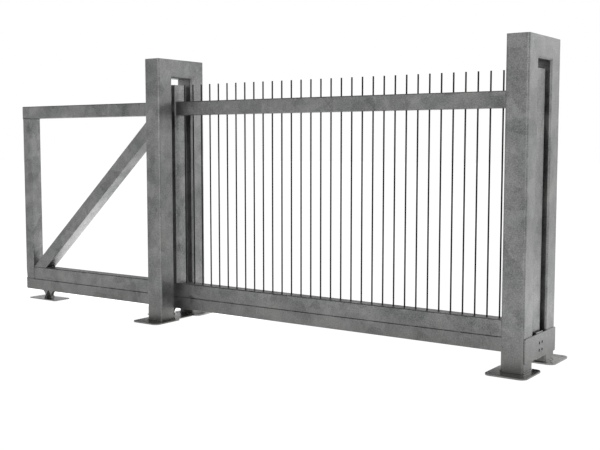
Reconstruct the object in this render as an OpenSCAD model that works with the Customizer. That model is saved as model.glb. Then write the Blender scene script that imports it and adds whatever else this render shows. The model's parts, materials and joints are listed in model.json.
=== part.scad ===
// Self-supporting sliding gate driven by a rack and pinion.
// X runs along the leaf, +X towards the catch portal, Y is across the gate, Z is up.
// The origin is on the ground, midway along the closed gate, in the middle of the leaf.

/* [Portals] */
// Height of both portals
portal_h = 2207; // [2150:1:2400]
// Width of the square post tube
portal_tube = 160; // [150:2:170]
// Wall of the portal tubes
portal_wall = 5; // [4:0.5:6]
// Outer corner radius of the portal tubes
portal_r = 15; // [10:1:18]
// Clear gap between the two posts of a portal
portal_gap = 240; // [236:2:260]
// Height of the lintel
lintel_h = 152; // [120:2:160]
// Clear passage between the portals
passage_w = 3040; // [3030:5:3060]

/* [Foot plates] */
// Foot plate size along X
foot_x = 290; // [280:2:300]
// Distance from the middle of the leaf to a foot plate's inner edge
foot_inner = 100; // [96:2:110]
// Distance from the middle of the leaf to a foot plate's outer edge
foot_outer = 413; // [400:1:430]
// Foot plate thickness
foot_t = 10; // [8:1:15]
// Foot plate corner radius
foot_r = 50; // [10:1:60]
// Anchor hole diameter in every plate
anchor_d = 14; // [12:1:18]
// Anchor hole spacing along X
anchor_dx = 220; // [210:2:240]
// Anchor hole spacing along Y
anchor_dy = 214; // [200:2:220]

/* [Leaf] */
// Depth of the leaf's tubes across the gate
leaf_depth = 120; // [110:2:120]
// Depth of the mid post and the front post
post_depth = 140; // [130:2:140]
// Wall of the leaf's tubes
leaf_wall = 4; // [3:0.5:5]
// Outer corner radius of the leaf's tubes
leaf_r = 8; // [5:1:10]
// Height of the track's underside above the ground
track_z = 86; // [83:1:89]
// Height of the track
track_h = 101; // [101:1:104]
// Wall of the track
track_wall = 5.5; // [5:0.5:5.5]
// Width of the slot in the track's underside
track_slot = 60; // [56:2:64]
// Height of the bottom beam
beam_h = 120; // [116:1:124]
// Underside of the top rail
rail_z = 1743; // [1700:1:1760]
// Height of the top rail
rail_h = 115; // [100:1:120]
// Top of the bars and of the posts that stand with them
bar_top = 1998; // [1960:1:2020]
// Tail end of the leaf, measured from the guide portal's front face
tail_x = -2015; // [-2020:1:-2010]
// Width of the tail post along X
tail_w = 110; // [100:1:112]
// Width of the brace, measured in its slope
brace_w = 118; // [100:1:120]
// Front face of the mid post, measured from the guide portal's front face
mid_x = -14; // [-18:1:-12]
// Width of the mid post along X
mid_w = 120; // [110:1:122]
// Front face of the front post, behind the catch portal's front face
front_back = 25; // [24:1:27]
// Width of the front post along X
front_w = 120; // [110:1:122]

/* [Bars] */
// Diameter of an infill bar
bar_d = 12; // [10:1:14]
// Number of infill bars
bar_count = 33; // [30:1:33]
// Distance between bars
bar_pitch = 92.8; // [90:0.1:92.8]
// First bar, measured from the guide portal's front face
bar_x = 34.5; // [30:0.5:38]

/* [Drive] */
// Gear module of the rack and the pinion
gear_m = 6; // [6:1:6]
// Teeth on the pinion
pinion_teeth = 18; // [18:1:18]
// Teeth on each length of rack
rack_teeth = 43; // [43:1:43]
// Lengths of rack
rack_lengths = 4; // [4:1:4]
// Width of the rack and of the pinion across the gate
gear_w = 20; // [16:1:22]
// Height of the rack's pitch line above the ground
pitch_z = 218; // [217:1:219]
// Play between rack and pinion teeth along the pitch line
backlash = 0.8; // [0.6:0.1:1]

/* [Carriages] */
// Diameter of a track roller
roller_d = 88; // [86:0.5:88]
// Middle of the rear carriage, measured from the guide portal's front face
rear_x = -1755; // [-1760:1:-1752]
// Middle of the front carriage, measured from the guide portal's front face
lead_x = -168; // [-172:1:-166]
// Carriage base plate along X
base_x = 370; // [360:2:380]
// Carriage base plate along Y
base_y = 180; // [160:2:186]
// Width of a carriage's neck
neck_w = 82; // [76:1:90]

/* [Hidden] */
$fn = 48;

zinc = [0.52, 0.53, 0.53];
dark_zinc = [0.4, 0.41, 0.41];
steel = [0.66, 0.67, 0.68];
black = [0.1, 0.1, 0.1];
nylon = [0.85, 0.85, 0.8];
motor_grey = [0.35, 0.4, 0.45];

// Places along X: x0 is the guide portal's front face, and the closed gate is centred on the origin
foot_over = (foot_x - portal_tube) / 2;
x0 = -(tail_x + passage_w + portal_tube + foot_over) / 2;
guide_x = x0 - portal_tube / 2;
catch_x = x0 + passage_w + portal_tube / 2;
catch_face = catch_x + portal_tube / 2;
tail_face = x0 + tail_x;
tail_inner = tail_face + tail_w;
mid_face = x0 + mid_x;
front_face = catch_face - front_back;
front_inner = front_face - front_w;

// Places across the gate and in height
post_y = (portal_gap + portal_tube) / 2;
foot_y = (foot_inner + foot_outer) / 2;
portal_half = portal_gap / 2;
portal_outer = portal_half + portal_tube;
lintel_z = portal_h - lintel_h;
beam_z = track_z + track_h;
beam_top = beam_z + beam_h;
leaf_half = leaf_depth / 2;
track_inner = leaf_half - track_wall;
track_r = 5;
post_half = post_depth / 2;
bolt_play = 0.1;
run_play = 0.05;
eps = 1;

// Radii of the bolts and of their heads
m5_r = 2.5;
m5_head_r = 5;
m8_r = 4;
m8_head_r = 7;
m10_r = 5;
m10_head_r = 8;

// Gear geometry
pressure = 20;
pitch = PI * gear_m;
pinion_r = gear_m * pinion_teeth / 2;
pinion_x = guide_x;
pinion_z = pitch_z - pinion_r;
tooth_up = gear_m;
tooth_down = 1.25 * gear_m;
rack_back = 23;
rack_end_gap = 0.2;
rack_bolt_head = 6;
spacer_r = 11;
rack_gap = 10;
rack_y = leaf_half + rack_gap;
rack_lead = 6;
rack_x = pinion_x - rack_lead * pitch;
rack_len = rack_teeth * pitch;
rack_bolt_rise = 20;
rack_bolt_z = pitch_z + rack_bolt_rise;
rack_bolt_at = [0.15, 0.5, 0.85];
flank_steps = 6;
shaft_r = 15;
shaft_clear = 7;
shaft_in = 78;
shaft_collar = 4;
hub_len = 15;
hub_r = 26;

// Carriage geometry
roller_r = roller_d / 2;
roller_z = track_z + track_h / 2;
roller_lift = 0.6;
roller_w = 28;
roller_in = 18;
roller_dx = 105;
web_t = 30;
web_half = 156;
web_top = 169;
base_t = 8;
neck_r = 52;
neck_z = 25;
rib_top = 77;
rib_half_t = 6;
rib_foot = 60;
rib_neck = 15;
base_corner = 8;
base_edge_x = 60;
base_edge_y = 50;
axle_r = 10;
axle_over = 4;
hub_wall = 8;
hub_step = 2;

// Upper guide rollers
guide_r = 18;
guide_clear = 2;
guide_y = post_half + guide_clear + guide_r;
guide_z = rail_z + rail_h / 2;
guide_len = 64;
guide_at = [-45, 15];
guide_pin_r = 8;

// A rectangle centred on the origin, with round corners
module round_rect(x, y, r) {
    square([x - 2 * r, y], center = true);
    square([x, y - 2 * r], center = true);
    for (sx = [-1, 1], sy = [-1, 1])
        translate([sx * (x / 2 - r), sy * (y / 2 - r)]) circle(r);
}

// The section of a rectangular tube
module tube_section(x, y, r, wall) {
    difference() {
        round_rect(x, y, r);
        round_rect(x - 2 * wall, y - 2 * wall, max(r - wall, 1));
    }
}

// Turns an outline in Y and Z into a body from xa to xb
module along_x(xa, xb) {
    translate([xa, 0, 0]) rotate([90, 0, 90]) linear_extrude(xb - xa) children();
}

// Turns an outline in X and Z into a body from ya to yb
module along_y(ya, yb) {
    translate([0, yb, 0]) rotate([90, 0, 0]) linear_extrude(yb - ya) children();
}

module rod_y(x, z, ya, yb, r) {
    along_y(ya, yb) translate([x, z]) circle(r);
}

module rod_x(y, z, xa, xb, r) {
    along_x(xa, xb) translate([y, z]) circle(r);
}

module box(a, b) {
    translate(a) cube(b - a);
}

// ---- Portals ----

module portal_post(x, side) {
    color(zinc) translate([x, side * post_y, foot_t])
        linear_extrude(portal_h - portal_wall - foot_t)
            tube_section(portal_tube, portal_tube, portal_r, portal_wall);
}

module lintel_section() {
    difference() {
        translate([0, portal_h - lintel_h / 2]) round_rect(portal_tube, lintel_h, portal_r);
        translate([0, portal_h - lintel_h / 2]) square([portal_tube - 2 * portal_wall,
            lintel_h - 2 * portal_wall], center = true);
    }
}

// The lintel's ends are coped round the posts' corners, so its faces run into theirs
module lintel(x) {
    reach = portal_half + portal_r;
    color(zinc) difference() {
        translate([x, 0, 0]) union() {
            along_y(-reach, reach) lintel_section();
            box([-portal_tube / 2, -reach, portal_h - portal_r], [portal_tube / 2, reach, portal_h]);
        }
        for (side = [-1, 1])
            translate([x, side * post_y, 0]) linear_extrude(portal_h + eps)
                round_rect(portal_tube, portal_tube, portal_r);
    }
}

module foot_plate(x, side) {
    color(dark_zinc) difference() {
        translate([x, side * foot_y, 0]) linear_extrude(foot_t)
            round_rect(foot_x, foot_outer - foot_inner, foot_r);
        anchor_holes(x, side * foot_y, anchor_dx, anchor_dy, foot_t);
    }
}

module anchor_holes(x, y, dx, dy, t) {
    for (sx = [-1, 1], sy = [-1, 1])
        translate([x + sx * dx / 2, y + sy * dy / 2, -eps]) cylinder(d = anchor_d, h = t + 2 * eps);
}

module guide_post_front() { drilled_guide_post(-1); }
module catch_post_front() { portal_post(catch_x, -1); }
module catch_post_rear() { portal_post(catch_x, 1); }
module guide_lintel() { lintel(guide_x); }
module catch_lintel() { lintel(catch_x); }
module guide_foot_front() { foot_plate(guide_x, -1); }
module guide_foot_rear() { foot_plate(guide_x, 1); }
module catch_foot_front() { foot_plate(catch_x, -1); }
module catch_foot_rear() { foot_plate(catch_x, 1); }

// A guide post with the holes for its guide roller bracket
module drilled_guide_post(side) {
    color(zinc) difference() {
        portal_post(guide_x, side);
        bracket_bolt_places(side) rod_y(0, 0, -2 * portal_wall, 2 * portal_wall, m10_r + bolt_play);
    }
}

// The rear guide post also has a hole for the drive shaft, bolt holes and a service opening
module guide_post_rear() {
    color(zinc) difference() {
        drilled_guide_post(1);
        rod_y(pinion_x, pinion_z, portal_half - eps, portal_half + 2 * portal_wall, shaft_r + shaft_clear);
        gearbox_bolt_places() rod_y(0, 0, portal_half - eps, portal_half + 2 * portal_wall, m8_r + bolt_play);
        box([guide_x - service_w / 2, portal_outer - 2 * portal_wall, service_z],
            [guide_x + service_w / 2, portal_outer + eps, service_z + service_h]);
        cover_screw_places() rod_y(0, 0, -2 * portal_wall, eps, m5_r + bolt_play);
    }
}

// Every post is closed by a cap of its own
module post_caps() {
    color(zinc) for (x = [guide_x, catch_x], side = [-1, 1])
        translate([x, side * post_y, portal_h - portal_wall]) linear_extrude(portal_wall)
            round_rect(portal_tube, portal_tube, portal_r);
}

// ---- Catch gear ----

cross_t = 10;
cross_z = 72;
cross_h = 165;
cross_r = 9;
cross_half = portal_outer - 7;
catch_hole_z = 148;
catch_hole_step = 50;
catch_hole_r = 10;
screw_head = 4;
catch_plate_t = 10;
catch_plate_half = 57;
catch_plate_z = 63;
catch_plate_top = 245;
shelf_t = 8;
shelf_half = 45;
shelf_top = 73;
shelf_len = 125;
shelf_ramp = 90;
shelf_drop = 8;
buffer_t = 12;
buffer_half = 40;
buffer_rise = 10;
buffer_edge = 4;
screw_out = 2;
screw_ring = 1.5;
socket_floor = 1;
socket_r = 4;
block_half_h = 40;
block_back = 70;
block_mouth = 20;
block_taper = 40;
block_flat = 30;

module catch_hole_places() {
    for (sy = [-1, 1], sz = [-1, 1])
        translate([0, sy * catch_hole_step / 2, catch_hole_z + sz * catch_hole_step / 2]) children();
}

module catch_cross_plate() {
    color(zinc) difference() {
        along_x(catch_face, catch_face + cross_t)
            translate([0, cross_z + cross_h / 2]) round_rect(2 * cross_half, cross_h, cross_r);
        catch_hole_places() rod_x(0, 0, catch_face - eps, catch_face + cross_t + eps, catch_hole_r);
    }
}

// An upright plate behind the cross plate, with a shelf that the run-up roller lands on
module catch_bracket() {
    back = catch_face - catch_plate_t;
    color(zinc) difference() {
        union() {
            box([back, -catch_plate_half, catch_plate_z], [catch_face, catch_plate_half, catch_plate_top]);
            along_y(-shelf_half, shelf_half) polygon([
                [back, shelf_top], [back - shelf_ramp, shelf_top], [back - shelf_len, shelf_top - shelf_drop],
                [back - shelf_len, shelf_top - shelf_drop - shelf_t], [back, shelf_top - shelf_t]]);
        }
        catch_hole_places() rod_x(0, 0, back - eps, catch_face + eps, m10_r + bolt_play);
    }
}

module catch_buffer() {
    back = catch_face - catch_plate_t;
    color(black) box([back - buffer_t, -buffer_half, beam_z + buffer_rise],
        [back, buffer_half, catch_plate_top - buffer_edge]);
}

// Socket screws set back into the cross plate, with a nut behind
module catch_screws() {
    back = catch_face - catch_plate_t;
    color(black) catch_hole_places() difference() {
        union() {
            rod_x(0, 0, back, catch_face + screw_out, m10_r);
            rod_x(0, 0, catch_face, catch_face + screw_head, catch_hole_r - screw_ring);
        }
        along_x(catch_face + socket_floor, catch_face + screw_head + eps) circle(r = socket_r, $fn = 6);
    }
}

// Blocks that hold the top of the closed leaf sideways
module upper_catch_guides() {
    reach = post_half + guide_clear;
    color(black) for (side = [-1, 1]) mirror([0, side < 0 ? 1 : 0, 0])
        translate([0, 0, guide_z - block_half_h]) linear_extrude(2 * block_half_h) polygon([
            [catch_x - block_back, portal_half], [catch_x - block_back, portal_half - block_mouth],
            [catch_x - block_taper, reach], [catch_x + block_flat, reach],
            [catch_x + block_taper, portal_half]]);
}

// ---- Carriages ----

module carriage_base(x) {
    color(dark_zinc) difference() {
        translate([x, 0, 0]) linear_extrude(base_t) round_rect(base_x, base_y, base_corner);
        anchor_holes(x, 0, base_x - base_edge_x, base_y - base_edge_y, base_t);
    }
}

// Outline of the web: a neck that opens upwards in two round arcs to the wide part in the track
module web_outline() {
    half = neck_w / 2;
    difference() {
        union() {
            translate([-half - neck_r, base_t]) square([2 * (half + neck_r), neck_z + neck_r - base_t]);
            translate([-web_half, neck_z + neck_r]) square([2 * web_half, web_top - neck_z - neck_r]);
        }
        for (side = [-1, 1]) translate([side * (half + neck_r), 0]) {
            translate([0, neck_z]) circle(neck_r);
            translate([-neck_r, 0]) square([2 * neck_r, neck_z]);
        }
    }
}

module carriage_web(x, lift) {
    color(dark_zinc) difference() {
        union() {
            along_y(-web_t / 2, web_t / 2) translate([x, 0]) web_outline();
            along_x(x - rib_half_t, x + rib_half_t) polygon([
                [-rib_foot, base_t], [-rib_neck, rib_top], [rib_neck, rib_top], [rib_foot, base_t]]);
        }
        for (side = [-1, 1])
            rod_y(x + side * roller_dx, roller_z + lift, -web_t, web_t, axle_r);
    }
}

module axle_pair(x, lift) {
    reach = roller_in + roller_w + axle_over;
    color(steel) for (side = [-1, 1])
        rod_y(x + side * roller_dx, roller_z + lift, -reach, reach, axle_r);
}

module carriage_axles() {
    axle_pair(x0 + lead_x, roller_lift);
    axle_pair(x0 + rear_x, -roller_lift);
}

// Two rollers on one axle, each on its own bush bore
module axle_rollers(x, lift) {
    color(steel) for (side = [-1, 1]) difference() {
        union() {
            roller_body(x, lift, side, roller_in + hub_step, roller_in + roller_w, roller_r);
            roller_body(x, lift, side, roller_in, roller_in + roller_w + hub_step, axle_r + hub_wall);
        }
        rod_y(x, roller_z + lift, -2 * roller_w - roller_in, 2 * roller_w + roller_in, axle_r + run_play);
    }
}

module roller_body(x, lift, side, ya, yb, r) {
    rod_y(x, roller_z + lift, side > 0 ? ya : -yb, side > 0 ? yb : -ya, r);
}

module lead_carriage_base() { carriage_base(x0 + lead_x); }
module lead_carriage_web() { carriage_web(x0 + lead_x, roller_lift); }
module rear_carriage_base() { carriage_base(x0 + rear_x); }
module rear_carriage_web() { carriage_web(x0 + rear_x, -roller_lift); }
module lead_rollers_a() { axle_rollers(x0 + lead_x - roller_dx, roller_lift); }
module lead_rollers_b() { axle_rollers(x0 + lead_x + roller_dx, roller_lift); }
module rear_rollers_a() { axle_rollers(x0 + rear_x - roller_dx, -roller_lift); }
module rear_rollers_b() { axle_rollers(x0 + rear_x + roller_dx, -roller_lift); }

// ---- Upper guide rollers in the guide portal ----

bracket_t = 6;
bracket_half = 66;
bracket_bolt_in = 12;
bracket_lip = 12;
bracket_nut = 8;
bracket_head = 3;

module bracket_bolt_places(side) {
    for (sx = [-1, 1])
        translate([guide_x + sx * (bracket_half - bracket_bolt_in), side * portal_half, guide_z]) children();
}

module guide_bracket(side) {
    face = portal_half;
    top = guide_len / 2 + guide_clear;
    color(zinc) difference() {
        mirror([0, side < 0 ? 1 : 0, 0]) union() {
            box([guide_x - bracket_half, face - bracket_t, guide_z - top - bracket_t],
                [guide_x + bracket_half, face, guide_z + top + bracket_t]);
            for (z = [guide_z - top - bracket_t, guide_z + top])
                box([guide_x - bracket_half, guide_y - bracket_lip, z],
                    [guide_x + bracket_half / 2, face - bracket_t, z + bracket_t]);
        }
        for (dx = guide_at) translate([guide_x + dx, side * guide_y, guide_z - 2 * guide_len])
            cylinder(r = guide_pin_r, h = 4 * guide_len);
        bracket_bolt_places(side) rod_y(0, 0, -2 * bracket_t, 2 * bracket_t, m10_r + bolt_play);
    }
}

module guide_bracket_front() { guide_bracket(-1); }
module guide_bracket_rear() { guide_bracket(1); }

module guide_roller_pins() {
    reach = guide_len / 2 + guide_clear + bracket_t;
    color(steel) for (side = [-1, 1], dx = guide_at)
        translate([guide_x + dx, side * guide_y, guide_z - reach]) cylinder(r = guide_pin_r, h = 2 * reach);
}

module guide_roller(side, dx) {
    color(nylon) translate([guide_x + dx, side * guide_y, guide_z]) difference() {
        cylinder(r = guide_r, h = guide_len, center = true);
        cylinder(r = guide_pin_r + run_play, h = 2 * guide_len, center = true);
    }
}

module guide_roller_1() { guide_roller(-1, guide_at[0]); }
module guide_roller_2() { guide_roller(-1, guide_at[1]); }
module guide_roller_3() { guide_roller(1, guide_at[0]); }
module guide_roller_4() { guide_roller(1, guide_at[1]); }

// ---- Drive in the rear guide post ----

gearbox_half = 56;
gearbox_y = portal_half + portal_wall;
gearbox_depth = 130;
gearbox_corner = 12;
gearbox_boss_r = 40;
gearbox_boss = 8;
gearbox_bore = 80;
gearbox_bolt_at = 44;
gearbox_bolt_in = 20;
gearbox_bolt_head = 5;
motor_r = 55;
motor_h = 290;
motor_flange = 14;
motor_cap = 30;
motor_skin = 6;
fin_count = 10;
fin_step = 20;
fin_t = 6;
service_w = 116;
service_z = 97;
service_h = 560;
cover_w = 130;
cover_t = 3;
cover_edge = 18;
cover_corner = 6;
cover_screw_edge = 10;
cover_screw_in = 12;

module gearbox_bolt_places() {
    for (sx = [-1, 1], sz = [-1, 1])
        translate([pinion_x + sx * gearbox_bolt_at, 0, pinion_z + sz * gearbox_bolt_at]) children();
}

module cover_screw_places() {
    for (sx = [-1, 1], z = [service_z - cover_edge / 2, service_z + service_h + cover_edge / 2])
        translate([guide_x + sx * (cover_w / 2 - cover_screw_edge), portal_outer, z]) children();
}

module gearbox() {
    y2 = gearbox_y + gearbox_depth;
    color(motor_grey) difference() {
        union() {
            along_y(gearbox_y, y2) translate([pinion_x, pinion_z])
                round_rect(2 * gearbox_half, 2 * gearbox_half, gearbox_corner);
            rod_y(pinion_x, pinion_z, y2, y2 + gearbox_boss, gearbox_boss_r);
        }
        rod_y(pinion_x, pinion_z, gearbox_y - eps, gearbox_y + gearbox_bore, shaft_r + run_play);
        gearbox_bolt_places()
            rod_y(0, 0, gearbox_y - eps, gearbox_y + gearbox_bolt_in + portal_wall, m8_r + bolt_play);
    }
}

module drive_motor() {
    y = gearbox_y + gearbox_depth / 2;
    z = pinion_z + gearbox_half;
    color(motor_grey) translate([pinion_x, y, z]) {
        cylinder(r = motor_r, h = motor_flange);
        translate([0, 0, motor_flange])
            cylinder(r = motor_r - motor_skin, h = motor_h - motor_flange - motor_cap);
        for (i = [1:fin_count]) translate([0, 0, motor_flange + i * fin_step]) cylinder(r = motor_r, h = fin_t);
        translate([0, 0, motor_h - motor_cap]) cylinder(r = motor_r, h = motor_cap);
    }
}

// The bolts in the guide portal's posts: four hold the roller brackets, and four the gearbox
module guide_portal_bolts() {
    color(steel) {
        for (side = [-1, 1]) bracket_bolt_places(side) mirror([0, side < 0 ? 1 : 0, 0]) {
            rod_y(0, 0, -bracket_t, portal_wall + bracket_nut, m10_r);
            rod_y(0, 0, -bracket_t - bracket_head, -bracket_t, m10_head_r);
        }
        gearbox_bolt_places() {
            rod_y(0, 0, portal_half, gearbox_y + gearbox_bolt_in, m8_r);
            rod_y(0, 0, portal_half - gearbox_bolt_head, portal_half, m8_head_r);
        }
    }
}

module service_cover() {
    z1 = service_z - cover_edge;
    z2 = service_z + service_h + cover_edge;
    color(zinc) difference() {
        along_y(portal_outer, portal_outer + cover_t) translate([guide_x, (z1 + z2) / 2])
            round_rect(cover_w, z2 - z1, cover_corner);
        cover_screw_places() rod_y(0, 0, -eps, cover_t + eps, m5_r + bolt_play);
    }
}

module cover_screws() {
    color(steel) cover_screw_places() {
        rod_y(0, 0, -cover_screw_in, cover_t, m5_r);
        rod_y(0, 0, cover_t, cover_t + m5_r, m5_head_r);
    }
}

// ---- Leaf ----

module bottom_beam() {
    color(zinc) difference() {
        along_x(tail_inner, front_inner) translate([0, beam_z + beam_h / 2])
            tube_section(leaf_depth, beam_h, leaf_r, leaf_wall);
        rack_bolt_places() rod_y(0, 0, leaf_half - 3 * leaf_wall, leaf_half + eps, m10_r + bolt_play);
    }
}

// The track is welded up from strips: two sides, a top between them and two lips beside the slot
module track_strip(ya, yb, za, zb) {
    color(zinc) along_x(tail_face + track_wall, front_face)
        translate([ya, track_z + za]) square([yb - ya, zb - za]);
}

module track_top() {
    track_strip(-track_inner, track_inner, track_h - track_wall, track_h);
}

module track_sides() {
    color(zinc) for (side = [-1, 1]) mirror([0, side < 0 ? 1 : 0, 0])
        along_x(tail_face + track_wall, front_face) intersection() {
            translate([0, track_z + track_h / 2]) round_rect(leaf_depth, track_h, track_r);
            translate([track_inner, track_z]) square([track_wall, track_h]);
        }
}

module track_lips() {
    track_strip(-track_inner, -track_slot / 2, 0, track_wall);
    track_strip(track_slot / 2, track_inner, 0, track_wall);
}

// Closes the tail end of the track, with its lower edge rounded off
module track_end_cap() {
    r = 14;
    color(zinc) intersection() {
        along_x(tail_face, tail_face + track_wall) translate([0, track_z + track_h / 2])
            round_rect(leaf_depth, track_h, track_r);
        union() {
            box([tail_face, -leaf_depth, track_z + r], [tail_face + r, leaf_depth, beam_z]);
            rod_y(tail_face + r, track_z + r, -leaf_depth, leaf_depth, r);
        }
    }
}

module tail_post() {
    color(zinc) translate([tail_face + tail_w / 2, 0, beam_z]) linear_extrude(rail_z - beam_z)
        tube_section(tail_w, leaf_depth, leaf_r, leaf_wall);
}

// The brace runs from the foot of the tail post to the corner of the top rail and the mid post
module tail_brace() {
    dx = mid_face - mid_w - tail_inner;
    dz = rail_z - beam_top;
    reach = norm([dx, dz]);
    slope = atan2(dz, dx) + asin(brace_w / reach);
    color(zinc) intersection() {
        translate([tail_inner, 0, beam_top]) rotate([0, -slope, 0])
            along_x(-brace_w, reach + brace_w) translate([0, -brace_w / 2])
                tube_section(leaf_depth, brace_w, leaf_r, leaf_wall);
        box([tail_inner, -leaf_depth, beam_top], [mid_face - mid_w, leaf_depth, rail_z]);
    }
}

module rail_tube(xa, xb) {
    along_x(xa, xb) translate([0, rail_z + rail_h / 2])
        tube_section(leaf_depth, rail_h, leaf_r, leaf_wall);
}

module top_rail_rear() {
    color(zinc) rail_tube(tail_face + leaf_wall, mid_face - mid_w);
}

module bar_places() {
    for (i = [0:bar_count - 1]) translate([x0 + bar_x + i * bar_pitch, 0, 0]) children();
}

module top_rail_front() {
    color(zinc) difference() {
        rail_tube(mid_face, front_inner);
        bar_places() translate([0, 0, rail_z - eps])
            cylinder(d = bar_d + 2 * bolt_play, h = rail_h + 2 * eps);
    }
}

module leaf_post(xa, xb, z) {
    color(zinc) translate([(xa + xb) / 2, 0, z])
        linear_extrude(bar_top - leaf_wall - z)
            tube_section(xb - xa, post_depth, leaf_r, leaf_wall);
}

// The mid post stands on the beam, and the front post covers the beam's end and stands on the track
module mid_post() { leaf_post(mid_face - mid_w, mid_face, beam_top); }
module front_post() { leaf_post(front_inner, front_face, beam_z + leaf_wall); }

module post_end(xa, xb, z) {
    translate([(xa + xb) / 2, 0, z]) linear_extrude(leaf_wall) round_rect(xb - xa, post_depth, leaf_r);
}

// Caps on the two post tops, the front post's foot and the tail end of the top rail
module leaf_end_caps() {
    color(zinc) {
        post_end(mid_face - mid_w, mid_face, bar_top - leaf_wall);
        post_end(front_inner, front_face, bar_top - leaf_wall);
        post_end(front_inner, front_face, beam_z);
        along_x(tail_face, tail_face + leaf_wall) translate([0, rail_z + rail_h / 2])
            round_rect(leaf_depth, rail_h, leaf_r);
    }
}

module infill_bars() {
    color(dark_zinc) bar_places() translate([0, 0, beam_top]) cylinder(d = bar_d, h = bar_top - beam_top);
}

// Stops in the track: the first meets the rear carriage, the second the front carriage
stop_len = 40;
stop_gap = 5;
stop_pad = 12;
stop_half = 45;
stop_rise = 6;
leaf_travel = 3000;
stop_z = track_z + track_wall + stop_rise;

module stops(inner, outer) {
    closed_x = x0 + rear_x - web_half - stop_gap;
    open_x = x0 + lead_x + web_half + leaf_travel + stop_gap;
    box([closed_x - outer, -stop_half, stop_z], [closed_x - inner, stop_half, beam_z - track_wall]);
    box([open_x + inner, -stop_half, stop_z], [open_x + outer, stop_half, beam_z - track_wall]);
}

module stop_blocks() { color(steel) stops(stop_pad, stop_len); }
module stop_buffers() { color(black) stops(0, stop_pad); }

// ---- Run-up roller at the front end of the track ----

run_up_r = 25;
run_up_back = 45;
run_up_x = front_face - run_up_back;
run_up_lift = 0.5;
run_up_z = shelf_top + run_up_lift + run_up_r;
run_up_half = 20;
run_up_plate = 6;
run_up_clear = 2;
run_up_roof_half = 40;
run_up_ear_half = 14;
run_up_ear_drop = 12;
run_up_axle_r = 8;
run_up_axle_over = 4;

module run_up_bracket() {
    side_in = run_up_half + run_up_clear;
    roof = beam_z - track_wall;
    color(dark_zinc) difference() {
        union() {
            box([run_up_x - run_up_roof_half, -side_in - run_up_plate, roof - run_up_plate],
                [run_up_x + run_up_roof_half, side_in + run_up_plate, roof]);
            for (side = [-1, 1]) along_y(side > 0 ? side_in : -side_in - run_up_plate,
                                         side > 0 ? side_in + run_up_plate : -side_in)
                polygon([[run_up_x - run_up_roof_half, roof], [run_up_x + run_up_roof_half, roof],
                         [run_up_x + run_up_ear_half, run_up_z - run_up_ear_drop],
                         [run_up_x - run_up_ear_half, run_up_z - run_up_ear_drop]]);
        }
        rod_y(run_up_x, run_up_z, -leaf_half, leaf_half, run_up_axle_r);
    }
}

module run_up_axle() {
    reach = run_up_half + run_up_plate + run_up_axle_over;
    color(steel) rod_y(run_up_x, run_up_z, -reach, reach, run_up_axle_r);
}

module run_up_roller() {
    color(nylon) difference() {
        rod_y(run_up_x, run_up_z, -run_up_half, run_up_half, run_up_r);
        rod_y(run_up_x, run_up_z, -leaf_half, leaf_half, run_up_axle_r + run_play);
    }
}

// ---- Rack and pinion ----

module rack_bolt_places() {
    for (i = [0:rack_lengths - 1], f = rack_bolt_at)
        translate([rack_x + rack_len * (i + f), 0, rack_bolt_z]) children();
}

// One tooth and half the gap on each side of it, pointing down
function rack_tooth(x) =
    let (half = pitch / 4 - backlash / 4,
         tip = half - tooth_up * tan(pressure),
         root = half + tooth_down * tan(pressure))
    [[x - root, pitch_z + tooth_down], [x - tip, pitch_z - tooth_up],
     [x + tip, pitch_z - tooth_up], [x + root, pitch_z + tooth_down]];

module rack_length(i) {
    xa = rack_x + i * rack_len + rack_end_gap;
    xb = rack_x + (i + 1) * rack_len - rack_end_gap;
    teeth = [for (k = [0:rack_teeth - 1]) each rack_tooth(rack_x + i * rack_len + (k + 0.5) * pitch)];
    top = pitch_z + tooth_down + rack_back;
    along_y(rack_y, rack_y + gear_w)
        polygon(concat([[xb, top], [xa, top], [xa, pitch_z + tooth_down]], teeth,
                       [[xb, pitch_z + tooth_down]]));
}

module gear_rack() {
    color(steel) difference() {
        for (i = [0:rack_lengths - 1]) rack_length(i);
        rack_bolt_places() rod_y(0, 0, rack_y - eps, rack_y + gear_w + eps, m10_r + bolt_play);
    }
}

module rack_spacers() {
    color(steel) rack_bolt_places() difference() {
        rod_y(0, 0, leaf_half, rack_y, spacer_r);
        rod_y(0, 0, leaf_half - eps, rack_y + eps, m10_r + bolt_play);
    }
}

module rack_bolts() {
    color(steel) rack_bolt_places() {
        rod_y(0, 0, leaf_half - 2 * leaf_wall, rack_y + gear_w, m10_r);
        rod_y(0, 0, rack_y + gear_w, rack_y + gear_w + rack_bolt_head, m10_head_r);
    }
}

// Involute flank of the pinion: the angle from the tooth's middle at radius r
base_r = pinion_r * cos(pressure);
function involute(a) = tan(a) * 180 / PI - a;
function flank_angle(r) =
    90 / pinion_teeth - backlash / 4 / pinion_r * 180 / PI
    + involute(pressure) - involute(acos(min(1, base_r / r)));
function polar(r, a) = [r * sin(a), r * cos(a)];
function pinion_tooth(a) =
    let (root = pinion_r - tooth_down, tip = pinion_r + tooth_up,
         radii = [for (k = [0:flank_steps]) base_r + (tip - base_r) * k / flank_steps])
    concat([polar(root, a - flank_angle(base_r))],
           [for (r = radii) polar(r, a - flank_angle(r))],
           [for (k = [flank_steps:-1:0]) polar(radii[k], a + flank_angle(radii[k]))],
           [polar(root, a + flank_angle(base_r))]);

module pinion() {
    color(steel) difference() {
        union() {
            along_y(rack_y, rack_y + gear_w) translate([pinion_x, pinion_z])
                polygon([for (k = [0:pinion_teeth - 1]) each pinion_tooth(k * 360 / pinion_teeth)]);
            rod_y(pinion_x, pinion_z, rack_y + gear_w, rack_y + gear_w + hub_len, hub_r);
        }
        rod_y(pinion_x, pinion_z, rack_y - eps, rack_y + gear_w + hub_len + eps, shaft_r);
    }
}

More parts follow.
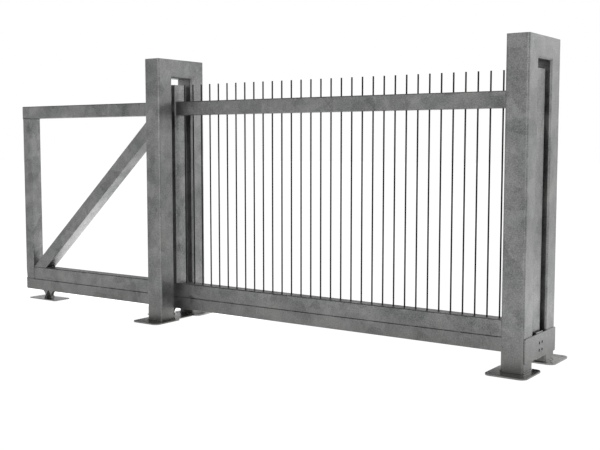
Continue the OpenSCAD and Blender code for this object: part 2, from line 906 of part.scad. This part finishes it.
module drive_shaft() {
    color(steel) {
        rod_y(pinion_x, pinion_z, rack_y, gearbox_y + shaft_in, shaft_r);
        rod_y(pinion_x, pinion_z, rack_y - shaft_collar, rack_y, shaft_r + shaft_collar);
    }
}

guide_post_front();
guide_post_rear();
guide_lintel();
guide_foot_front();
guide_foot_rear();
catch_post_front();
catch_post_rear();
catch_lintel();
catch_foot_front();
catch_foot_rear();
post_caps();
catch_cross_plate();
catch_bracket();
catch_buffer();
catch_screws();
upper_catch_guides();
lead_carriage_base();
lead_carriage_web();
rear_carriage_base();
rear_carriage_web();
carriage_axles();
guide_bracket_front();
guide_bracket_rear();
guide_roller_pins();
guide_portal_bolts();
gearbox();
drive_motor();
service_cover();
cover_screws();
bottom_beam();
track_top();
track_sides();
track_lips();
track_end_cap();
tail_post();
tail_brace();
top_rail_rear();
top_rail_front();
mid_post();
front_post();
leaf_end_caps();
infill_bars();
gear_rack();
rack_spacers();
rack_bolts();
stop_blocks();
stop_buffers();
run_up_bracket();
run_up_axle();
pinion();
drive_shaft();
lead_rollers_a();
lead_rollers_b();
rear_rollers_a();
rear_rollers_b();
guide_roller_1();
guide_roller_2();
guide_roller_3();
guide_roller_4();
run_up_roller();
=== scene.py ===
"""Looks of a galvanised sliding gate with a rack and pinion drive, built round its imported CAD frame."""

import json
import math

import bpy
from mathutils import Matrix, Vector


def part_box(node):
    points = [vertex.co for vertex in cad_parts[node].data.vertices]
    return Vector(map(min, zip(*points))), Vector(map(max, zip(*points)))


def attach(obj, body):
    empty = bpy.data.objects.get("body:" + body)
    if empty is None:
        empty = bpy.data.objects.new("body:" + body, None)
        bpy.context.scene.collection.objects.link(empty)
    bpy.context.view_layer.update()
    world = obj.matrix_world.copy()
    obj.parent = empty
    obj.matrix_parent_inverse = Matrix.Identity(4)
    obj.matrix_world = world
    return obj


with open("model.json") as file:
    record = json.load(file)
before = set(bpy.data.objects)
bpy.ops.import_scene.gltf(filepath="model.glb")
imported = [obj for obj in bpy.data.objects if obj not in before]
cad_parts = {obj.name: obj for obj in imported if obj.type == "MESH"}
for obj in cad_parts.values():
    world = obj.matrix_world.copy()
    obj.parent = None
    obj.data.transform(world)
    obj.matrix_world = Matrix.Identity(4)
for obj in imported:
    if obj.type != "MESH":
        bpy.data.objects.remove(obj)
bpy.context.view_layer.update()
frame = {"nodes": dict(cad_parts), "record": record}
nodes = frame["nodes"]


# ---- Node material helpers ----


class Shader:
    """A Principled material and the few node moves that every finish here is made from."""

    def __init__(self, name, metallic, specular=0.5):
        self.material = bpy.data.materials.new(name)
        self.material.use_nodes = True
        self.tree = self.material.node_tree
        self.bsdf = self.tree.nodes["Principled BSDF"]
        self.bsdf.inputs["Metallic"].default_value = metallic
        self.bsdf.inputs["Specular IOR Level"].default_value = specular
        self.place = self.new("ShaderNodeTexCoord").outputs["Object"]

    def new(self, kind, **settings):
        made = self.tree.nodes.new(kind)
        for key, value in settings.items():
            setattr(made, key, value)
        return made

    def link(self, a, b):
        self.tree.links.new(a, b)

    def stretched(self, scale):
        """The object's coordinates, scaled along each axis."""
        mapping = self.new("ShaderNodeMapping")
        mapping.inputs["Scale"].default_value = scale
        self.link(self.place, mapping.inputs["Vector"])
        return mapping.outputs["Vector"]

    def noise(self, scale, detail=3.0, roughness=0.5, distortion=0.0, stretch=None):
        made = self.new("ShaderNodeTexNoise")
        made.inputs["Scale"].default_value = scale
        made.inputs["Detail"].default_value = detail
        made.inputs["Roughness"].default_value = roughness
        made.inputs["Distortion"].default_value = distortion
        self.link(self.stretched(stretch) if stretch else self.place, made.inputs["Vector"])
        return made.outputs["Fac"]

    def fields(self, scale, sway):
        """A grey value for each cell of a crystal pattern, whose borders sway with a noise."""
        wander = self.new("ShaderNodeTexNoise")
        wander.inputs["Scale"].default_value = 2.2 * scale
        self.link(self.place, wander.inputs["Vector"])
        shift = self.new("ShaderNodeVectorMath", operation="SCALE")
        shift.inputs["Scale"].default_value = sway / scale
        self.link(wander.outputs["Color"], shift.inputs[0])
        moved = self.new("ShaderNodeVectorMath")
        self.link(self.place, moved.inputs[0])
        self.link(shift.outputs[0], moved.inputs[1])
        made = self.new("ShaderNodeTexVoronoi")
        made.inputs["Scale"].default_value = scale
        self.link(moved.outputs[0], made.inputs["Vector"])
        grey_of = self.new("ShaderNodeRGBToBW")
        self.link(made.outputs["Color"], grey_of.inputs["Color"])
        return grey_of.outputs["Val"]

    def ramp(self, value, *stops):
        """A colour ramp; each stop is (place, colour)."""
        made = self.new("ShaderNodeValToRGB")
        made.color_ramp.interpolation = "EASE"
        spare = made.color_ramp.elements
        while len(spare) < len(stops):
            spare.new(0.5)
        for element, (at, colour) in zip(spare, stops):
            element.position = at
            element.color = (*colour, 1.0)
        self.link(value, made.inputs["Fac"])
        return made.outputs["Color"]

    def remap(self, value, low, high, to_low, to_high):
        made = self.new("ShaderNodeMapRange")
        for name, number in zip(("From Min", "From Max", "To Min", "To Max"), (low, high, to_low, to_high)):
            made.inputs[name].default_value = number
        self.link(value, made.inputs["Value"])
        return made.outputs["Result"]

    def blend(self, how, factor, a, b):
        made = self.new("ShaderNodeMix", data_type="RGBA", blend_type=how)
        made.inputs[0].default_value = factor if isinstance(factor, float) else 0.0
        if not isinstance(factor, float):
            self.link(factor, made.inputs[0])
        for socket, value in ((made.inputs[6], a), (made.inputs[7], b)):
            if isinstance(value, tuple):
                socket.default_value = (*value, 1.0)
            else:
                self.link(value, socket)
        return made.outputs[2]

    def total(self, a, b, share):
        """a plus share times b."""
        made = self.new("ShaderNodeMath", operation="MULTIPLY_ADD")
        made.inputs[1].default_value = share
        self.link(b, made.inputs[0])
        if isinstance(a, float):
            made.inputs[2].default_value = a
        else:
            self.link(a, made.inputs[2])
        return made.outputs[0]

    def product(self, a, b):
        made = self.new("ShaderNodeMath", operation="MULTIPLY")
        self.link(a, made.inputs[0])
        self.link(b, made.inputs[1])
        return made.outputs[0]

    def along(self, axis):
        """How far along X, Y or Z each spot lies."""
        made = self.new("ShaderNodeSeparateXYZ")
        self.link(self.place, made.inputs["Vector"])
        return made.outputs[axis]

    def bump(self, value, strength, distance):
        made = self.new("ShaderNodeBump")
        made.inputs["Strength"].default_value = strength
        made.inputs["Distance"].default_value = distance
        self.link(value, made.inputs["Height"])
        self.link(made.outputs["Normal"], self.bsdf.inputs["Normal"])

    def colour(self, output):
        self.link(output, self.bsdf.inputs["Base Color"])

    def roughness(self, output):
        self.link(output, self.bsdf.inputs["Roughness"])


def grey(value, warm=0.0):
    """A grey with its red raised and its blue lowered by the share warm."""
    return (value * (1 + warm), value, value * (1 - warm))


# ---- Finishes ----


def galvanised(name, tone, contrast=1.0, rough=0.33):
    """Hot-dip zinc: crystal fields, clouds, pale wisps, a fine grain, a faint tint, and painted shade that
    darkens it towards the floor.
    """
    s = Shader(name, 1.0)
    clouds = s.noise(3.6, detail=2.5, distortion=0.9)
    patches = s.noise(15.0, detail=3.0, roughness=0.6, distortion=0.5)
    streaks = s.noise(1.0, detail=4.0, stretch=(30.0, 30.0, 3.0))
    fields = s.fields(7.5, sway=0.35)
    small_fields = s.fields(19.0, sway=0.2)
    wisps = s.noise(8.0, detail=5.0, roughness=0.62, distortion=2.2)
    grain = s.noise(115.0, detail=3.0, roughness=0.7)
    level = s.total(s.total(clouds, patches, 0.5), streaks, 0.2)
    level = s.total(s.total(level, fields, 0.5), small_fields, 0.22)
    level = s.total(level, grain, 2.1)
    spread = 0.36 * contrast
    base = s.ramp(
        s.remap(level, 1.66, 2.76, 0.0, 1.0),
        (0.08, grey(tone * (1 - spread))),
        (0.42, grey(tone * 0.98)),
        (0.62, grey(tone * (1 + 0.5 * spread))),
        (0.92, grey(tone * (1 + 1.4 * spread))),
    )
    pale = s.remap(wisps, 0.57, 0.7, 0.0, 0.6 * contrast)
    base = s.blend("MIX", pale, base, grey(tone * (1 + 1.3 * spread), -0.01))
    tint = s.ramp(clouds, (0.4, (0.975, 1.0, 0.99)), (0.5, (0.995, 1.0, 1.0)), (0.62, (1.0, 1.0, 1.0)),
                  (0.72, (1.0, 1.0, 0.965)))
    base = s.blend("MULTIPLY", 1.0, base, tint)
    # Painted shade: the zinc turns darker and a little warmer over the lowest 0.3 m, towards the floor.
    dust_and_floor_shade = s.remap(s.along("Z"), 0.0, 0.3, 0.55, 0.0)
    s.colour(s.blend("MIX", dust_and_floor_shade, base, grey(tone * 0.75, 0.04)))
    s.roughness(s.remap(s.total(patches, fields, 0.6), 0.45, 1.15, rough, rough + 0.14))
    s.bump(s.total(grain, patches, 2.0), 0.14, 0.0015)
    return s.material


def weld_zinc(name, tone):
    """Zinc over a weld bead: darker in its ripples."""
    s = Shader(name, 1.0)
    mottle = s.noise(120.0, detail=3.0)
    s.colour(s.ramp(mottle, (0.3, grey(tone * 0.75)), (0.7, grey(tone * 1.1))))
    s.roughness(s.remap(mottle, 0.3, 0.7, 0.4, 0.6))
    s.bump(mottle, 0.25, 0.001)
    return s.material


def machined(name, tone, scratch, warm=0.0, metallic=0.95):
    """Turned or milled steel with fine tool lines and a little grease darkening."""
    s = Shader(name, metallic)
    lines = s.noise(1.0, detail=2.0, stretch=scratch)
    smears = s.noise(30.0, detail=3.0, distortion=0.5)
    base = s.ramp(lines, (0.3, grey(tone * 0.85, warm)), (0.7, grey(tone * 1.12, warm)))
    s.colour(s.blend("MULTIPLY", 0.6, base, s.ramp(smears, (0.35, grey(0.6)), (0.6, grey(1.0)))))
    s.roughness(s.remap(smears, 0.3, 0.7, 0.42, 0.24))
    s.bump(lines, 0.1, 0.0004)
    return s.material


def moulded(name, tone, warm, rough):
    """Nylon or rubber: even, with a faint grain and scuffs."""
    s = Shader(name, 0.0, 0.4)
    scuffs = s.noise(55.0, detail=4.0, distortion=0.4)
    s.colour(s.ramp(scuffs, (0.35, grey(tone * 0.88, warm)), (0.65, grey(tone * 1.08, warm))))
    s.roughness(s.remap(scuffs, 0.3, 0.7, rough - 0.08, rough + 0.1))
    s.bump(s.noise(700.0, detail=2.0), 0.15, 0.0004)
    return s.material


def enamel(name, colour):
    """Sprayed enamel on a casting, with orange peel and dust on top."""
    s = Shader(name, 0.0, 0.5)
    dust_and_floor_shade = s.noise(18.0, detail=5.0)
    dusty = tuple(0.7 * c + 0.08 for c in colour)
    s.colour(s.ramp(dust_and_floor_shade, (0.42, colour), (0.75, dusty)))
    s.roughness(s.remap(dust_and_floor_shade, 0.35, 0.7, 0.32, 0.55))
    s.bump(s.noise(420.0, detail=2.0), 0.2, 0.0006)
    return s.material


PORTAL_TONE = 0.170
LEAF_TONE = 0.163
PLATE_TONE = 0.19
# Painted light: the rear foot plates get a lighter copy of the plate zinc, as if more light fell on them.
LIT_PLATE_TONE = 0.27
BAR_TONE = 0.015

portal_zinc = galvanised("portal_zinc", PORTAL_TONE)
leaf_zinc = galvanised("leaf_zinc", LEAF_TONE, 1.15)
plate_zinc = galvanised("plate_zinc", PLATE_TONE, 0.8, 0.22)
lit_plate_zinc = galvanised("lit_plate_zinc", LIT_PLATE_TONE, 0.8, 0.22)
bar_zinc = galvanised("bar_zinc", BAR_TONE, 0.7)
weld_finish = weld_zinc("weld_finish", LEAF_TONE)
turned_steel = machined("turned_steel", 0.5, (40.0, 900.0, 40.0))
milled_steel = machined("milled_steel", 0.42, (700.0, 60.0, 60.0))
bolt_zinc = machined("bolt_zinc", 0.55, (300.0, 300.0, 300.0), 0.03)
black_oxide = machined("black_oxide", 0.03, (300.0, 300.0, 300.0), 0.0, 0.8)
black_rubber = moulded("black_rubber", 0.022, 0.0, 0.75)
white_nylon = moulded("white_nylon", 0.62, 0.05, 0.45)
black_nylon = moulded("black_nylon", 0.02, 0.0, 0.45)
motor_enamel = enamel("motor_enamel", (0.06, 0.075, 0.09))

FINISH_OF_SLOT = {
    "bright_steel": turned_steel,
    "zinc_bolts": bolt_zinc,
    "black_screws": black_oxide,
    "rubber": black_rubber,
    "nylon": white_nylon,
    "black_nylon": black_nylon,
    "motor_paint": motor_enamel,
}
LEAF_NODES = set(frame["record"]["behaviour"]["bodies"]["leaf"])
slot_of = {part["node"]: part["material_slot"] for part in frame["record"]["subparts"]}


def finish_of(node):
    if node in ("gear_rack", "pinion"):
        return milled_steel
    if slot_of[node] in FINISH_OF_SLOT:
        return FINISH_OF_SLOT[slot_of[node]]
    if node == "infill_bars":
        return bar_zinc
    # Painted light: the rear foot plates take the lighter copy of the plate zinc.
    if "foot_rear" in node:
        return lit_plate_zinc
    if "carriage" in node or "foot" in node or node in ("run_up_bracket", "catch_bracket"):
        return plate_zinc
    return leaf_zinc if node in LEAF_NODES else portal_zinc


for name, obj in nodes.items():
    obj.data.materials.clear()
    obj.data.materials.append(finish_of(name))


# ---- Weld beads ----

BEAD_STEP = 0.003
RIPPLE = 0.0075
RIPPLE_DEPTH = 0.12
BEAD_SIDES = 7
# An open bead starts at this share of its radius and grows by the next at each step
TIP_SHARE = 0.35
TIP_GROWTH = 0.3


def resampled(points, closed):
    """Points at even steps along the straight runs between the given points."""
    ends = points[1:] + ([points[0]] if closed else [])
    out = []
    for a, b in zip(points, ends):
        steps = max(1, round((b - a).length / BEAD_STEP))
        out += [a.lerp(b, i / steps) for i in range(steps)]
    return out if closed else out + [points[-1]]


def bead_mesh(paths, radius, closed):
    """Rippled round beads along the paths, each given as (points, the direction that sees the bead)."""
    verts, faces = [], []
    for points, up in paths:
        line = resampled([Vector(p) for p in points], closed)
        first, count = len(verts), len(line)
        for i, p in enumerate(line):
            ahead = line[(i + 1) % count] if closed else line[min(i + 1, count - 1)]
            behind = line[i - 1] if closed or i else p
            along = (ahead - behind).normalized()
            side = along.cross(Vector(up)).normalized()
            top = side.cross(along)
            end = 1.0 if closed else min(1.0, TIP_SHARE + min(i, count - 1 - i) * TIP_GROWTH)
            r = radius * end * (1 + RIPPLE_DEPTH * math.sin(2 * math.pi * i * BEAD_STEP / RIPPLE))
            for k in range(BEAD_SIDES):
                a = 2 * math.pi * k / BEAD_SIDES
                verts.append(p + side * (r * math.cos(a)) + top * (r * math.sin(a)))
        rings = count if closed else count - 1
        for i in range(rings):
            j = (i + 1) % count
            for k in range(BEAD_SIDES):
                n = (k + 1) % BEAD_SIDES
                faces.append([first + q for q in (
                    i * BEAD_SIDES + k, i * BEAD_SIDES + n, j * BEAD_SIDES + n, j * BEAD_SIDES + k)])
        if not closed:
            faces.append([first + k for k in reversed(range(BEAD_SIDES))])
            faces.append([first + (count - 1) * BEAD_SIDES + k for k in range(BEAD_SIDES)])
    mesh = bpy.data.meshes.new("bead")
    mesh.from_pydata([tuple(v) for v in verts], [], faces)
    mesh.validate()
    for polygon in mesh.polygons:
        polygon.use_smooth = True
    return mesh


def welds(name, body, paths, radius=0.004, closed=True):
    obj = bpy.data.objects.new(name, bead_mesh(paths, radius, closed))
    bpy.context.scene.collection.objects.link(obj)
    obj.data.materials.append(weld_finish)
    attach(obj, body)
    return obj


def outline(x0, x1, y0, y1, r, steps=6):
    """A rectangle with round corners as points (x, y)."""
    corners = ((x1 - r, y1 - r, 0), (x0 + r, y1 - r, 90), (x0 + r, y0 + r, 180), (x1 - r, y0 + r, 270))
    return [(cx + r * math.cos(math.radians(a0 + 90 * i / steps)),
             cy + r * math.sin(math.radians(a0 + 90 * i / steps)))
            for cx, cy, a0 in corners for i in range(steps + 1)]


PORTAL_R = 0.015
LEAF_R = 0.008
OUT = 0.001


def level_ring(box, z, r, keep_out=OUT):
    """A ring at height z round an upright tube."""
    lo, hi = box
    ring = outline(lo.x - keep_out, hi.x + keep_out, lo.y - keep_out, hi.y + keep_out, r)
    return [(x, y, z) for x, y in ring], (0, 0, 1)


def post_foot_welds():
    """A ring where each portal post stands on its foot plate."""
    paths = []
    for post in ("guide_post_front", "guide_post_rear", "catch_post_front", "catch_post_rear"):
        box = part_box(post)
        paths.append(level_ring(box, box[0].z + OUT, PORTAL_R))
    return paths


def leaf_post_welds():
    """Round the foot of the mid post, and both ends of the tail post."""
    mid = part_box("mid_post")
    paths = [level_ring(mid, mid[0].z + OUT, LEAF_R)]
    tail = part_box("tail_post")
    paths += [level_ring(tail, tail[1].z - OUT, LEAF_R, 0), level_ring(tail, tail[0].z + OUT, LEAF_R, 0)]
    return paths


def cross_ring(x, tube, r):
    """A ring in the plane across the leaf where a lying tube meets an upright face at x."""
    lo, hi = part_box(tube)
    return [(x, y, z) for y, z in outline(lo.y, hi.y, lo.z, hi.z, r)], (1, 0, 0)


def rail_welds():
    mid, front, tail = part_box("mid_post"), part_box("front_post"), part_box("tail_post")
    return [cross_ring(mid[0].x - OUT, "top_rail_rear", LEAF_R),
            cross_ring(mid[1].x + OUT, "top_rail_front", LEAF_R),
            cross_ring(front[0].x - OUT, "top_rail_front", LEAF_R),
            cross_ring(front[0].x - OUT, "bottom_beam", LEAF_R),
            cross_ring(tail[1].x + OUT, "bottom_beam", LEAF_R)]


BRACE_W = 0.118


def brace_welds():
    """Across the brace's two ends, on the faces of the beam, the tail post, the rail and the mid post."""
    lo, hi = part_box("tail_brace")
    reach = math.hypot(hi.x - lo.x, hi.z - lo.z)
    slope = math.atan2(hi.z - lo.z, hi.x - lo.x) + math.asin(BRACE_W / reach)
    flat = BRACE_W / math.sin(slope)
    near, far = lo.y + LEAF_R, hi.y - LEAF_R
    paths = []
    for end, toe, z in ((lo.x, lo.x + flat, lo.z + OUT), (hi.x, hi.x - flat, hi.z - OUT)):
        for side in (lo.y + LEAF_R / 3, hi.y - LEAF_R / 3):
            paths.append(([(end, side, z), (toe, side, z)], (0, side, 0)))
        paths.append(([(toe, near, z), (toe, far, z)], (0, 0, 1)))
    return paths


STITCH_PITCH = 0.36
STITCH_LEN = 0.05
STITCH_IN = 0.0035


def track_stitches():
    """Short welds between the track and the beam, on both sides of the leaf."""
    track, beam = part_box("track_sides"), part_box("bottom_beam")
    count = int((beam[1].x - beam[0].x) / STITCH_PITCH)
    seam = track[1].z
    paths = []
    for side in (track[0].y + STITCH_IN, track[1].y - STITCH_IN):
        for i in range(count):
            x = beam[0].x + (i + 0.5) * STITCH_PITCH
            paths.append(([(x, side, seam), (x + STITCH_LEN, side, seam)], (0, side, 0)))
    return paths


BAR_COUNT = 33
RING_STEPS = 16


def bar_welds():
    """A small ring where each bar stands on the beam and where it enters and leaves the rail."""
    lo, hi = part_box("infill_bars")
    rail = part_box("top_rail_front")
    bar_r = (hi.y - lo.y) / 2
    ring_r = bar_r + OUT
    pitch = (hi.x - lo.x - 2 * bar_r) / (BAR_COUNT - 1)
    paths = []
    for i in range(BAR_COUNT):
        x = lo.x + bar_r + i * pitch
        ring = [(x + ring_r * math.cos(a), ring_r * math.sin(a))
                for a in (2 * math.pi * k / RING_STEPS for k in range(RING_STEPS))]
        for z in (lo.z, rail[0].z, rail[1].z):
            paths.append(([(px, py, z) for px, py in ring], (0, 0, 1)))
    return paths


NECK_HALF = 0.041
WEB_HALF = 0.015


def carriage_welds():
    """A ring round the foot of each carriage's neck."""
    paths = []
    for which in ("lead", "rear"):
        base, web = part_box(which + "_carriage_base"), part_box(which + "_carriage_web")
        x, top = (web[0].x + web[1].x) / 2, base[1].z
        ring = outline(x - NECK_HALF, x + NECK_HALF, -WEB_HALF, WEB_HALF, 0.002, 2)
        paths.append(([(px, py, top + OUT) for px, py in ring], (0, 0, 1)))
    return paths


welds("post_foot_welds", "ground", post_foot_welds(), 0.005)
welds("carriage_welds", "ground", carriage_welds(), 0.004)
welds("leaf_post_welds", "leaf", leaf_post_welds(), 0.004)
welds("rail_welds", "leaf", rail_welds(), 0.0035)
welds("brace_welds", "leaf", brace_welds(), 0.0035, closed=False)
welds("track_stitch_welds", "leaf", track_stitches(), 0.003, closed=False)
welds("bar_welds", "leaf", bar_welds(), 0.0018)


# ---- Stage, light and camera ----


FLOOR_HALF = 60.0
FLOOR_Z = -0.002
# Where the floor glows more: from and to along X, from and to along Y, soft edge, added strength
POOLS = ((-6.0, -0.2, 0.5, 0.9, 0.3, 1.9), (3.2, 5.6, 0.6, 4.2, 0.3, 1.0))


def window(s, axis, low, high, edge):
    """One between low and high along the axis, and zero past the soft edges."""
    rise = s.remap(s.along(axis), low - edge, low, 0.0, 1.0)
    fall = s.remap(s.along(axis), high, high + edge, 0.0, -1.0)
    return s.total(rise, fall, 1.0)


def stage_floor():
    """A plain white floor that glows, so that it is as white under the gate as beside it.

    It glows more in two pools behind the gate. The brace's underside reflects the first, and the foot of
    the catch portal's side reflects the second.
    """
    mesh = bpy.data.meshes.new("floor")
    corners = [(FLOOR_HALF * x, FLOOR_HALF * y, FLOOR_Z) for x, y in ((-1, -1), (1, -1), (1, 1), (-1, 1))]
    mesh.from_pydata(corners, [], [(0, 1, 2, 3)])
    floor = bpy.data.objects.new("floor", mesh)
    bpy.context.scene.collection.objects.link(floor)
    s = Shader("floor_white", 0.0, 0.1)
    speck = s.noise(3.0)
    s.colour(s.ramp(speck, (0.3, grey(0.03)), (0.7, grey(0.032))))
    s.roughness(s.remap(speck, 0.3, 0.7, 0.85, 0.9))
    s.bump(speck, 0.02, 0.001)
    s.bsdf.inputs["Emission Color"].default_value = (1.0, 1.0, 1.0, 1.0)
    glow = 1.0
    for x0, x1, y0, y1, edge, added in POOLS:
        glow = s.total(glow, s.product(window(s, "X", x0, x1, edge), window(s, "Y", y0, y1, edge)), added)
    s.link(glow, s.bsdf.inputs["Emission Strength"])
    mesh.materials.append(s.material)


class Surroundings:
    """The light all round: a white band at the horizon, a darker sky, and soft bright patches in it."""

    def __init__(self, sky, band, band_top):
        self.world = bpy.data.worlds.new("surroundings")
        self.world.use_nodes = True
        self.tree = self.world.node_tree
        place = self.tree.nodes.new("ShaderNodeTexCoord").outputs["Generated"]
        self.way = self.tree.nodes.new("ShaderNodeVectorMath")
        self.way.operation = "NORMALIZE"
        self.tree.links.new(place, self.way.inputs[0])
        split = self.tree.nodes.new("ShaderNodeSeparateXYZ")
        self.tree.links.new(self.way.outputs[0], split.inputs[0])
        self.strength = self.fade(split.outputs["Z"], band_top - 0.03, band_top + 0.05, band, sky)

    def fade(self, value, low, high, to_low, to_high):
        made = self.tree.nodes.new("ShaderNodeMapRange")
        made.interpolation_type = "SMOOTHSTEP"
        for name, number in zip(("From Min", "From Max", "To Min", "To Max"), (low, high, to_low, to_high)):
            made.inputs[name].default_value = number
        self.tree.links.new(value, made.inputs["Value"])
        return made.outputs["Result"]

    def patch(self, azimuth, elevation, inner, outer, strength):
        """A soft round patch, full within inner degrees of its middle and gone at outer degrees."""
        a, e = math.radians(azimuth), math.radians(elevation)
        dot = self.tree.nodes.new("ShaderNodeVectorMath")
        dot.operation = "DOT_PRODUCT"
        self.tree.links.new(self.way.outputs[0], dot.inputs[0])
        dot.inputs[1].default_value = (math.cos(a) * math.cos(e), math.sin(a) * math.cos(e), math.sin(e))
        glow = self.fade(dot.outputs["Value"], math.cos(math.radians(outer)), math.cos(math.radians(inner)),
                         0.0, strength)
        add = self.tree.nodes.new("ShaderNodeMath")
        self.tree.links.new(self.strength, add.inputs[0])
        self.tree.links.new(glow, add.inputs[1])
        self.strength = add.outputs[0]

    def use(self):
        background = self.tree.nodes["Background"]
        background.inputs["Color"].default_value = (1.0, 1.0, 1.0, 1.0)
        self.tree.links.new(self.strength, background.inputs["Strength"])
        bpy.context.scene.world = self.world


def light_all_round():
    light = Surroundings(sky=0.1, band=1.0, band_top=0.26)
    light.patch(azimuth=80, elevation=27, inner=9, outer=24, strength=4.6)
    light.patch(azimuth=25, elevation=29, inner=20, outer=45, strength=0.8)
    light.patch(azimuth=-75, elevation=29, inner=18, outer=38, strength=1.7)
    light.patch(azimuth=0, elevation=90, inner=35, outer=55, strength=0.25)
    light.use()


CAMERA_AT = (4.8544, -6.0453, 1.5075)
CAMERA_DOWN = 4.96
CAMERA_LEFT = 35.10
CAMERA_LENS = 56.59
SENSOR_W = 36.0


def add_camera():
    """The camera at the solved place, looking down a little and to the left of the gate's normal."""
    data = bpy.data.cameras.new("camera")
    data.lens = CAMERA_LENS
    data.sensor_width = SENSOR_W
    camera = bpy.data.objects.new("camera", data)
    bpy.context.scene.collection.objects.link(camera)
    camera.location = CAMERA_AT
    camera.rotation_euler = (math.radians(90 - CAMERA_DOWN), 0.0, math.radians(CAMERA_LEFT))
    bpy.context.scene.camera = camera


stage_floor()
light_all_round()
add_camera()
bpy.context.scene.view_settings.view_transform = "Standard"
